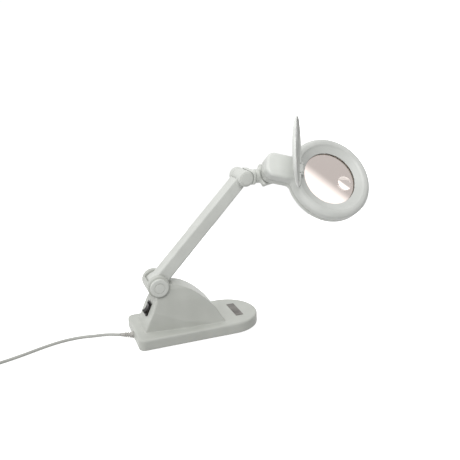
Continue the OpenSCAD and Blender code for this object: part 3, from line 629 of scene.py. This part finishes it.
def baseDistance(x, y, z):
    # plate, pedestal and ears joined, less the arm's slot, the room inside, the switch hole and the lead hole
    plan = planDistance(x, y)
    plate = roundCut(roundCut(plan, z - base["top"], base["edge"]), base["foot"] - z, base["footEdge"])
    side, across = pedestalDistance(x, y, z)
    pedestal = roundCut(side, across, base["ridgeEdge"])
    sx, sz = x - base["ear"][0], z - base["ear"][1]
    ears = roundCut(np.hypot(sx, sz) - base["earRadius"], np.abs(y) - base["earHalf"], base["earEdge"])
    solid = roundJoin(roundJoin(pedestal, ears, base["earFillet"]), plate, base["fillet"])
    solid = roundCut(solid, -armSlotDistance(sx, y, sz), base["slotEdge"])
    hollow = np.maximum(plan + base["wall"], z - base["ceiling"])
    (middle, half), (floorAt, ceilingAt) = base["room"], base["roomHeight"]
    inner = np.maximum(np.maximum(np.maximum(side, across) + base["roomWall"], np.abs(x - middle) - half),
                       np.maximum(z - ceilingAt, floorAt - z))
    u, w = turnedAxes(x - lamp["switch"][0], z - lamp["switch"][2], lamp["backSlope"])
    (holeU, holeY), (deep, out) = base["switchHole"], base["switchDepth"]
    switchHole = np.maximum(np.maximum(np.abs(u) - holeU, np.abs(y) - holeY), np.maximum(deep - w, w - out))
    leadY, leadZ, leadRadius = base["leadHole"]
    leadHole = np.maximum(np.hypot(y - leadY, z - leadZ) - leadRadius, x - base["leadHoleEnd"])
    return np.maximum(solid, -np.minimum(np.minimum(hollow, inner), np.minimum(switchHole, leadHole)))


moulded("baseShell", baseDistance, (-106, -54, -2), (106, 54, 107), 1.3, "base", "base", "shell_plastic",
        ("base_shell",))

# arm
arm = {"low": 21.6, "high": 19.6, "half": 12, "edge": 2.6, "endEdge": 0.5, "barrel": 14, "barrelEdge": 1.2,
       "cheek": 12.5, "cheekHalf": 22, "discEdge": 2.8, "fillet": 2, "fork": 13, "forkHalf": 10, "forkEdge": 0.7,
       "room": (106.5, 86.5), "roomHalf": 9.8, "wall": 2.2, "shoulderBore": 3.1, "elbowBore": 2.6}


def armDistance(x, y, z):
    # tapering bar, barrel at the shoulder, round cheeks at the elbow, hollow and open underneath
    end = lamp["armLength"]
    half = (arm["low"] + (arm["high"] - arm["low"]) * x / end) / 2
    bar = roundCut(np.abs(y) - arm["half"], np.abs(z) - half, arm["edge"])
    bar = roundCut(np.maximum(bar, -x), x - end, arm["endEdge"])
    barrel = roundCut(np.hypot(x, z) - arm["barrel"], np.abs(y) - arm["half"], arm["barrelEdge"])
    cheek = roundCut(np.hypot(x - end, z) - arm["cheek"], np.abs(y) - arm["cheekHalf"], arm["discEdge"])
    solid = roundJoin(roundJoin(bar, barrel, arm["fillet"]), cheek, arm["fillet"])
    fork = np.maximum(np.minimum(np.hypot(x - end, z) - arm["fork"], end - x), np.abs(y) - arm["forkHalf"])
    solid = roundCut(solid, -fork, arm["forkEdge"])
    middle, reach = arm["room"]
    hollow = np.maximum(np.maximum(np.abs(y) - arm["roomHalf"], np.abs(x - middle) - reach), z - (half - arm["wall"]))
    bolts = np.minimum(np.hypot(x, z) - arm["shoulderBore"], np.hypot(x - end, z) - arm["elbowBore"])
    return np.maximum(solid, -np.minimum(hollow, bolts))


moulded("armBody", armDistance, (-16, -24, -16), (227, 24, 16), 1.0, "arm", "shell", "shell_plastic", ("arm_body",),
        armPlace)

# neck block
neck = {"tongue": 12.2, "tongueHalf": 9, "tongueEdge": 0.6, "web": (8, 8), "saddle": 21, "saddleLift": 0.75,
        "saddleHigh": 10.75, "saddleHalf": 20, "saddleEnd": 17, "saddleStart": 4, "saddleEdge": 1.6,
        "clear": 13.2, "clearEdge": 0.8, "collar": 11, "collarAt": (17.5, 3.55), "collarEdge": 0.5, "fillet": 1.2,
        "boltBore": 2.6, "tubeBore": 6.1, "tubeBoreStart": 13.5}


def neckDistance(x, y, z):
    # tongue between the arm's cheeks, a saddle round it and a collar for the swivel
    tongue = roundCut(np.hypot(x, z) - neck["tongue"], np.abs(y) - neck["tongueHalf"], neck["tongueEdge"])
    middle, half = neck["web"]
    web = np.maximum(np.maximum(np.abs(x - middle) - half, np.abs(y) - neck["tongueHalf"]),
                     np.abs(z) - neck["tongueHalf"])
    saddle = roundCut(np.hypot(y, z) - neck["saddle"], np.abs(z - neck["saddleLift"]) - neck["saddleHigh"],
                      neck["saddleEdge"])
    saddle = roundCut(saddle, x - neck["saddleEnd"], neck["saddleEdge"])
    saddle = roundCut(saddle, np.abs(y) - neck["saddleHalf"], neck["saddleEdge"])
    saddle = roundCut(saddle, neck["clear"] - np.hypot(x, z), neck["clearEdge"])
    saddle = np.maximum(saddle, neck["saddleStart"] - x)
    middle, half = neck["collarAt"]
    collar = roundCut(np.hypot(y, z) - neck["collar"], np.abs(x - middle) - half, neck["collarEdge"])
    solid = roundJoin(np.minimum(np.minimum(tongue, web), saddle), collar, neck["fillet"])
    tubeBore = np.maximum(np.hypot(y, z) - neck["tubeBore"], neck["tubeBoreStart"] - x)
    return np.maximum(solid, -np.minimum(np.hypot(x, z) - neck["boltBore"], tubeBore))


moulded("neckBlock", neckDistance, (-14, -22, -14), (23, 22, 14), 0.7, "neck", "shell", "shell_plastic",
        ("neck_block",), neckPlace)

# yoke: a collar that flares into a flat tongue under the head's box
yoke = {"ring": 11, "start": 21.35, "startEdge": 0.5, "flare": (26, 8), "flareEnd": 38, "flareEdge": 1,
        "slab": (18, 2), "level": (2.3, 4.1), "widths": [(34, 18), (55.5, 13)], "plate": (44, 12), "tip": 13,
        "plateEdge": 1.6, "fillet": 1.0, "tubeBore": (6.1, 27), "clipBore": (7.6, 29, 2.1), "panBore": 2.6,
        "headBore": (6.2, 0.4)}


def yokeDistance(x, y, z):
    # the section runs from a circle to a flat slab, mixed by t^2 (3 - 2t) along the flare
    start, run = yoke["flare"]
    t = np.clip((x - start) / run, 0, 1)
    t = t * t * (3 - 2 * t)
    middle, half = yoke["level"]
    across = np.hypot(x - lamp["panBolt"], y)
    slabHalf, slabRound = yoke["slab"]
    ring = np.hypot(y, z) - yoke["ring"]
    slab = roundBox(np.abs(y) - slabHalf, np.abs(z - middle) - half, slabRound)
    flare = roundCut((1 - t) * ring + t * slab, x - yoke["flareEnd"], yoke["flareEdge"])
    flare = roundCut(flare, yoke["start"] - x, yoke["startEdge"])
    places, widths = np.array(yoke["widths"]).T
    plateAt, plateHalf = yoke["plate"]
    plate = np.maximum(np.abs(y) - np.interp(x, places, widths), np.abs(x - plateAt) - plateHalf)
    plate = roundCut(np.minimum(plate, across - yoke["tip"]), np.abs(z - middle) - half, yoke["plateEdge"])
    solid = roundJoin(flare, plate, yoke["fillet"])
    radius, end = yoke["tubeBore"]
    bores = np.minimum(np.maximum(np.hypot(y, z) - radius, x - end), across - yoke["panBore"])
    radius, clipAt, clipHalf = yoke["clipBore"]
    bores = np.minimum(bores, np.maximum(np.hypot(y, z) - radius, np.abs(x - clipAt) - clipHalf))
    radius, top = yoke["headBore"]
    bores = np.minimum(bores, np.maximum(across - radius, z - top))
    return np.maximum(solid, -bores)


moulded("yokeShell", yokeDistance, (19, -20, -13), (70, 20, 13), 0.8, "yoke", "shell", "shell_plastic", ("yoke",),
        yokePlace)

# head
head = {"fillet": 5, "boxEdge": 4.5, "boxBack": -110, "boxHalf": 21, "boxRound": 14, "boxLevel": (-5.75, 14.25),
        "boxEnd": -40, "boxClear": 60, "wall": 2.3, "split": -7, "splitGap": (0.15, -0.25), "splitEdge": 0.5,
        "roomInside": 48.5, "lowerInside": 61, "opening": 44, "lensSeat": (46.5, -0.95),
        "lug": 3.5, "lugFoot": (6.4, 3.1), "lugSides": (9, 2), "lugEdge": 0.6, "lugFillet": 1.0,
        "pin": (1.55, 10.6), "panBore": 2.6}


def arcPoints(cx, cy, r, start, end, steps=8):
    a = np.radians(np.linspace(start, end, steps + 1))
    return np.stack([cx + r * np.cos(a), cy + r * np.sin(a)], -1).tolist()


ringSection = ([(30, -2), (44, 0.4), (55, 4.9), (57.5, 6.7)] + arcPoints(61.5, -1, 8, 90, 0)
               + arcPoints(61.5, -11.5, 8, 0, -90) + [(30, -19.5)])


def headOuter(x, y, z):
    # the ring's section turned about z, and the box behind it
    r = np.hypot(x, y)
    ring = outlineDistance(r, z, ringSection)
    box = roundBox(head["boxBack"] - x, np.abs(y) - head["boxHalf"], head["boxRound"])
    middle, half = head["boxLevel"]
    box = roundCut(box, np.abs(z - middle) - half, head["boxEdge"])
    return roundJoin(ring, np.maximum(box, np.maximum(x - head["boxEnd"], head["boxClear"] - r)), head["fillet"]), r


def headTopDistance(x, y, z):
    # upper housing: the outer shape above the split, hollow, with the lens seat and two lugs for the cover's pin
    outer, r = headOuter(x, y, z)
    pinX, pinZ = lamp["coverPin"][0], lamp["coverPin"][2]
    room = np.maximum(outer + head["wall"], head["roomInside"] - r)
    seatRadius, seatTop = head["lensSeat"]
    pocket = np.minimum(r - head["opening"], np.maximum(r - seatRadius, z - seatTop))
    fromPin = np.hypot(x - pinX, z - pinZ)
    footAt, footHalf = head["lugFoot"]
    lug = np.minimum(fromPin - head["lug"], np.maximum(np.abs(x - pinX) - head["lug"], np.abs(z - footAt) - footHalf))
    sideAt, sideHalf = head["lugSides"]
    lug = roundCut(lug, np.abs(np.abs(y) - sideAt) - sideHalf, head["lugEdge"])
    outer = roundJoin(outer, lug, head["lugFillet"])
    pinRadius, pinHalf = head["pin"]
    pin = np.maximum(fromPin - pinRadius, np.abs(y) - pinHalf)
    solid = np.maximum(outer, -np.minimum(np.minimum(room, pocket), pin))
    return roundCut(solid, head["split"] + head["splitGap"][0] - z, head["splitEdge"])


def headBottomDistance(x, y, z):
    # lower housing: the outer shape below the split, open in the middle for the tube's light
    outer, r = headOuter(x, y, z)
    shell = np.maximum(np.maximum(outer, -(outer + head["wall"])), head["lowerInside"] - r)
    pan = np.hypot(x + lamp["lensAt"][0], y) - head["panBore"]
    return roundCut(np.maximum(shell, -pan), z - (head["split"] + head["splitGap"][1]), head["splitEdge"])


moulded("headTop", headTopDistance, (-113, -72, -9), (72, 72, 15.5), 1.1, "head", "head", "shell_plastic",
        ("head_top",), headPlace)
moulded("headBottom", headBottomDistance, (-113, -72, -22), (72, 72, -5), 1.1, "head", "shell", "shell_plastic",
        ("head_bottom",), headPlace)

# lens cover
cover = {"middle": 53, "knuckle": 3.5, "half": 6.6, "knuckleEdge": 0.5, "strap": (1.5, 2.1), "strapLevel": (1.9, 1.3),
         "tab": (102.5, 4), "tabHalf": 7, "tabRound": 2, "tabLevel": (1.3, 0.9), "tabEdge": 0.4, "tabInside": 49,
         "strapFillet": 0.8, "tabFillet": 0.6, "bore": 1.56, "lugClear": 3.9, "lugSides": (9.1, 2.3),
         "section": [(-6, 8.7), (18, 8.4), (34, 7.3), (46, 5.5), (50.5, 4.1), (51.6, 3.2), (52, 2.2), (52, 0.4),
                     (50, 0.4), (49.8, 2.3), (45, 3.6), (34, 5.4), (18, 6.5), (-6, 6.8)]}


def coverDistance(x, y, z):
    # a shallow dish, its hinge knuckle and strap, and a finger tab at the far side
    r = np.hypot(x - cover["middle"], y)
    dish = outlineDistance(r, z, cover["section"])
    knuckle = roundCut(np.hypot(x, z) - cover["knuckle"], np.abs(y) - cover["half"], cover["knuckleEdge"])
    (at, half), (level, high) = cover["strap"], cover["strapLevel"]
    strap = np.maximum(np.maximum(np.abs(x - at) - half, np.abs(y) - cover["half"]), np.abs(z - level) - high)
    (at, half), (level, high) = cover["tab"], cover["tabLevel"]
    tab = roundBox(np.abs(x - at) - half, np.abs(y) - cover["tabHalf"], cover["tabRound"])
    tab = roundCut(tab, np.abs(z - level) - high, cover["tabEdge"])
    solid = roundJoin(dish, np.minimum(knuckle, strap), cover["strapFillet"])
    solid = roundJoin(solid, np.maximum(tab, cover["tabInside"] - r), cover["tabFillet"])
    sideAt, sideHalf = cover["lugSides"]
    lugs = np.maximum(np.hypot(x, z) - cover["lugClear"], np.abs(np.abs(y) - sideAt) - sideHalf)
    return np.maximum(solid, -np.minimum(np.hypot(x, z) - cover["bore"], lugs))


moulded("lensCover", coverDistance, (-5, -54, -5), (108, 54, 10), 0.9, "cover", "cover", "shell_plastic",
        ("lens_cover",), coverPlace)

# lenses
lens = {"radius": 46, "bulge": 3, "edge": 3, "top": -1.35, "insetAt": (26, -3, 0.3), "insetHole": 12.05,
        "insetRadius": 12, "insetThick": 6.4, "insetBulge": 1.1}


def lensHeight(r, size, bulge):
    # cap of a ball through the rim: z = b - R + sqrt(R^2 - r^2), R = (s^2 + b^2) / 2b
    ball = (size * size + bulge * bulge) / (2 * bulge)
    return bulge - ball + np.sqrt(ball * ball - np.minimum(r, size) ** 2)


def mainLens():
    # sheet between the small lens's hole h and the rim R: P = (1 - t)(c + h e) + R t e, under and over
    a = np.linspace(0, 2 * math.pi, 144, endpoint=False)
    e = np.stack([np.cos(a), np.sin(a)], -1)
    t = np.linspace(0, 1, 15)[:, None, None]
    flat = (1 - t) * (np.array(lens["insetAt"][:2]) + lens["insetHole"] * e) + t * lens["radius"] * e
    high = lensHeight(np.linalg.norm(flat, axis=2), lens["radius"], lens["bulge"])
    under = np.concatenate([flat, (lens["top"] - lens["edge"] - high)[..., None]], -1)
    over = np.concatenate([flat, (lens["top"] + high)[..., None]], -1)
    p = np.concatenate([under, over[::-1]])
    return p.reshape(-1, 3), gridFaces(len(p), 144, True, True).tolist()


meshPiece("mainLens", *mainLens(), "head", "lens", "lens_glass", ("main_lens",), place=headPlace)
r = np.linspace(0, lens["insetRadius"], 13)
rise = lensHeight(r, lens["insetRadius"], lens["insetBulge"])
insetProfile = list(zip(r, -lens["insetThick"] - rise)) + list(zip(r[::-1], rise[::-1]))
meshPiece("insetLens", *lathe(insetProfile, 72), "head", "smallLens", "lens_glass", ("inset_lens",),
          place=headPlace.sub(lens["insetAt"]))

# turned rings in the head, and the circular tube with its gap at the base
rings = {"retaining": [(43.6, -7.4), (46.3, -7.4), (46.1, -4.75), (43.6, -4.75)], "retainingEdge": 0.3,
         "reflector": [(51.3, 0), (65, 0), (65, 0.8), (51.3, 0.8)], "reflectorEdge": 0.25,
         "tubeMiddle": 58, "tubeLevel": -9.0, "tubeRadius": 8.0, "tubeAngles": (191, 529),
         "tubeEnds": [7.0, 7.7, 7.95, 7.95, 7.7, 7.0]}
meshPiece("lensRing", *lathe(bevelProfile(rings["retaining"], rings["retainingEdge"]), 120), "head", "nylon", "nylon",
          ("lens_ring",), place=headPlace)
meshPiece("reflectorRing", *lathe(bevelProfile(rings["reflector"], rings["reflectorEdge"]), 120), "head", "enamel",
          "white_enamel", ("reflector",), place=headPlace)
a = np.radians(np.linspace(*rings["tubeAngles"], 140))
ringPath = np.stack([rings["tubeMiddle"] * np.cos(a), rings["tubeMiddle"] * np.sin(a),
                     np.full(len(a), rings["tubeLevel"])], -1)
taper = np.full(len(a), rings["tubeRadius"])
taper[[0, 1, 2, -3, -2, -1]] = rings["tubeEnds"]
meshPiece("lampTube", *tube(ringPath, taper, 28), "head", "phosphor", "tube_glass", ("lamp_tube",), place=headPlace)

# caps over the hinge bolts, as (radius, distance from the middle plane) with a rounding at each corner
caps = {"shoulder": [(0, 21.7), (7.8, 21.7), (7.8, 22.05), (14.2, 22.05), (14.2, 27.2), (8.4, 27.4), (8.2, 26.6),
                     (7.6, 26.6), (7.4, 27.45), (0, 27.45)],
        "shoulderEdge": [0, 0, 0, 0.3, 1.3, 0.15, 0.1, 0.1, 0.15, 0],
        "elbow": [(0, 20.9), (7.4, 20.9), (7.4, 22.05), (9.2, 22.05), (9.2, 23.2), (0, 23.2)],
        "elbowEdge": [0, 0, 0, 0.1, 0.5, 0]}


def pair(points, faces):
    # the same turned piece on both sides of the middle plane, the second turned half round about x
    points = np.asarray(points, float)
    near = points @ turn("x", 90).T
    far = points @ turn("x", -90).T
    return np.concatenate([near, far]), list(faces) + [[i + len(points) for i in f] for f in faces]


meshPiece("shoulderCaps", *pair(*lathe(bevelProfile(caps["shoulder"], caps["shoulderEdge"]), 96)), "base", "shell",
          "shell_plastic", ("shoulder_caps",), place=Place(shoulder))
meshPiece("elbowCaps", *pair(*lathe(bevelProfile(caps["elbow"], caps["elbowEdge"]), 80)), "arm", "shell",
          "shell_plastic", ("elbow_caps",), place=Place(elbow, armPlace.turned))

# rocker
rocker = {"half": 7.9, "dip": 2.1, "rise": 3.1, "span": 8, "bottom": -5.2, "foot": 3.6, "flare": (0.75, 9),
          "across": 5.4, "edge": 0.4, "sideEdge": 0.5, "rod": (1.2, 6.3), "tilt": 8}


def rockerDistance(x, y, z):
    # a block with a dished top z = dip + rise (x / span)^2 and flared ends, and its rod
    top = rocker["dip"] + rocker["rise"] * (x / rocker["span"]) ** 2
    slope, limit = rocker["flare"]
    ends = np.abs(x) - rocker["foot"] - slope * np.clip(z - rocker["bottom"], 0, limit)
    body = roundCut(np.maximum(np.abs(x) - rocker["half"], z - top), np.maximum(rocker["bottom"] - z, ends),
                    rocker["edge"])
    body = roundCut(body, np.abs(y) - rocker["across"], rocker["sideEdge"])
    radius, half = rocker["rod"]
    return np.minimum(body, np.maximum(np.hypot(x, z) - radius, np.abs(y) - half))


moulded("switchRocker", rockerDistance, (-10, -8, -7), (10, 8, 7), 0.35, "rocker", "black", "black_plastic",
        ("switch_rocker",), switchPlace.sub((0, 0, 0), turn("y", rocker["tilt"])))

# CAD pieces that keep their shape: a finish and a small edge break in millimetres each
kept = {"bottom_plate": ("under", 0.4), "rubber_feet": ("rubber", 0.3), "bottom_screws": ("steel", 0.2),
        "base_weight": ("cast", 1.0), "choke_core": ("lamination", 0.3), "choke_coil": ("winding", 0.8),
        "choke_screws": ("steel", 0.2), "terminal_block": ("nylon", 0.4), "switch_body": ("black", 0.4),
        "label_plate": ("plate", 0.15), "cord_grip": ("nylon", 0.4), "cord_tie": ("tie", 0.5),
        "plug_pins": ("brass", 0.5), "shoulder_bolt": ("steel", 0.4), "shoulder_nut": ("steel", 0.3),
        "shoulder_washers": ("fibre", 0.1), "arm_cover": ("shell", 0.4), "arm_screws": ("steel", 0.2),
        "arm_cable": ("plug", 0.2), "elbow_bolt": ("steel", 0.3), "elbow_nut": ("steel", 0.2),
        "elbow_washers": ("fibre", 0.1), "swivel_tube": ("steel", 0.2), "swivel_clip": ("steel", 0.15),
        "pan_bolt": ("steel", 0.3), "pan_washer": ("fibre", 0.2), "head_screws": ("steel", 0.2),
        "tube_base": ("nylon", 0.5), "tube_clips": ("steel", 0.1), "tube_socket": ("nylon", 0.5),
        "starter": ("nylon", 0.5), "cover_pin": ("steel", 0.2)}
for name, (finish, edge) in kept.items():
    node = frame["nodes"][name]
    for place in node.material_slots:
        place.material = finishes[finish]
    if not node.material_slots:
        node.data.materials.append(finishes[finish])
    weld = node.modifiers.new("weld", "WELD")
    weld.merge_threshold = 0.00001
    bevel = node.modifiers.new("edge", "BEVEL")
    bevel.width, bevel.segments = edge * mm, 2
    bevel.limit_method, bevel.angle_limit = "ANGLE", math.radians(50)
print("kept pieces finished")

# floor and light: each room level is (axis, dot span, levels at its two ends)
studio = {"lean": ((-0.4, 0.8, 0.12), (-0.5, 0.1), (0.36, 1.04)),
          "rise": ((0.517, -0.08, 0.852), (0.025, 0.105), (0.0, 1.55)),
          "patch": ((0.5, 0.86, 0.1), (0.8, 0.93), (0.0, 1.0)),
          "right": ((1, 0, 0), (0.7, 0.9), (1.0, 0.45)),
          "zenith": ((0, 0, 1), (0.0, 0.15), (1.0, 0.0)),
          "floorHalf": 2.6, "floorBack": 0.55, "floorLevel": -0.0002, "floorGlow": 0.5,
          "box": {"at": (-0.3, -0.95, 1.15), "toward": (0.12, 0, 0.2), "side": 0.7, "watts": 11.5}}
world = bpy.data.worlds.new("studio")
bpy.context.scene.world = world
world.use_nodes = True
sky = world.node_tree
direction = sky.nodes.new("ShaderNodeTexCoord")


def skyLevel(name):
    # a level that runs smoothly between two values as the view direction turns towards an axis
    axis, span, levels = studio[name]
    dot = sky.nodes.new("ShaderNodeVectorMath")
    dot.operation = "DOT_PRODUCT"
    dot.inputs[1].default_value = axis
    sky.links.new(direction.outputs["Generated"], dot.inputs[0])
    spread = sky.nodes.new("ShaderNodeMapRange")
    spread.interpolation_type = "SMOOTHSTEP"
    for key, value in zip(("From Min", "From Max", "To Min", "To Max"), (*span, *levels)):
        spread.inputs[key].default_value = value
    sky.links.new(dot.outputs["Value"], spread.inputs["Value"])
    return spread.outputs["Result"]


def skyMath(operation, a, b):
    node = sky.nodes.new("ShaderNodeMath")
    node.operation = operation
    sky.links.new(a, node.inputs[0])
    sky.links.new(b, node.inputs[1])
    return node.outputs["Value"]


# white room: bright behind and to the left, dim towards the viewer and far right, with a bright patch of wall
# low behind the head
wall = skyMath("MULTIPLY", skyMath("MULTIPLY", skyLevel("rise"), skyLevel("patch")), skyLevel("zenith"))
roomLevel = skyMath("MULTIPLY", skyMath("ADD", skyLevel("lean"), wall), skyLevel("right"))
sky.links.new(roomLevel, sky.nodes["Background"].inputs["Strength"])
sky.nodes["Background"].inputs["Color"].default_value = linear("#FFFFFF")
floorData = bpy.data.meshes.new("floor")
half, back, level = studio["floorHalf"], studio["floorBack"], studio["floorLevel"]
floorData.from_pydata([(-half, -half, level), (half, -half, level), (half, back, level), (-half, back, level)],
                      [], [(0, 1, 2, 3)])
floor = bpy.data.objects.new("floor", floorData)
bpy.context.scene.collection.objects.link(floor)
paper = Finish("paperBackdropWhite")
paper.join(paper.shade(paper.noise(60, 2.0), "Fac", "#FAFAFA", "#FDFDFD"), "Color", "Base Color")
paper.set(Roughness=0.9, Specular_IOR_Level=0.1, Emission_Color=linear("#FFFFFF"),
          Emission_Strength=studio["floorGlow"])
floorData.materials.append(paper.material)
floor.visible_diffuse = False        # the floor throws no white light up under the lamp, like a far-off sweep


def softbox(name, at, toward, side, watts):
    # a square area light at one point, aimed at another
    data = bpy.data.lights.new(name, "AREA")
    data.size, data.energy = side, watts
    box = bpy.data.objects.new(name, data)
    bpy.context.scene.collection.objects.link(box)
    box.location = at
    away = np.array(at, float) - np.array(toward, float)
    box.rotation_mode = "QUATERNION"
    box.rotation_quaternion = Vector(away).to_track_quat("Z", "Y")


softbox("frontBox", **studio["box"])
bpy.context.scene.view_settings.view_transform = "Standard"
print("lights set")
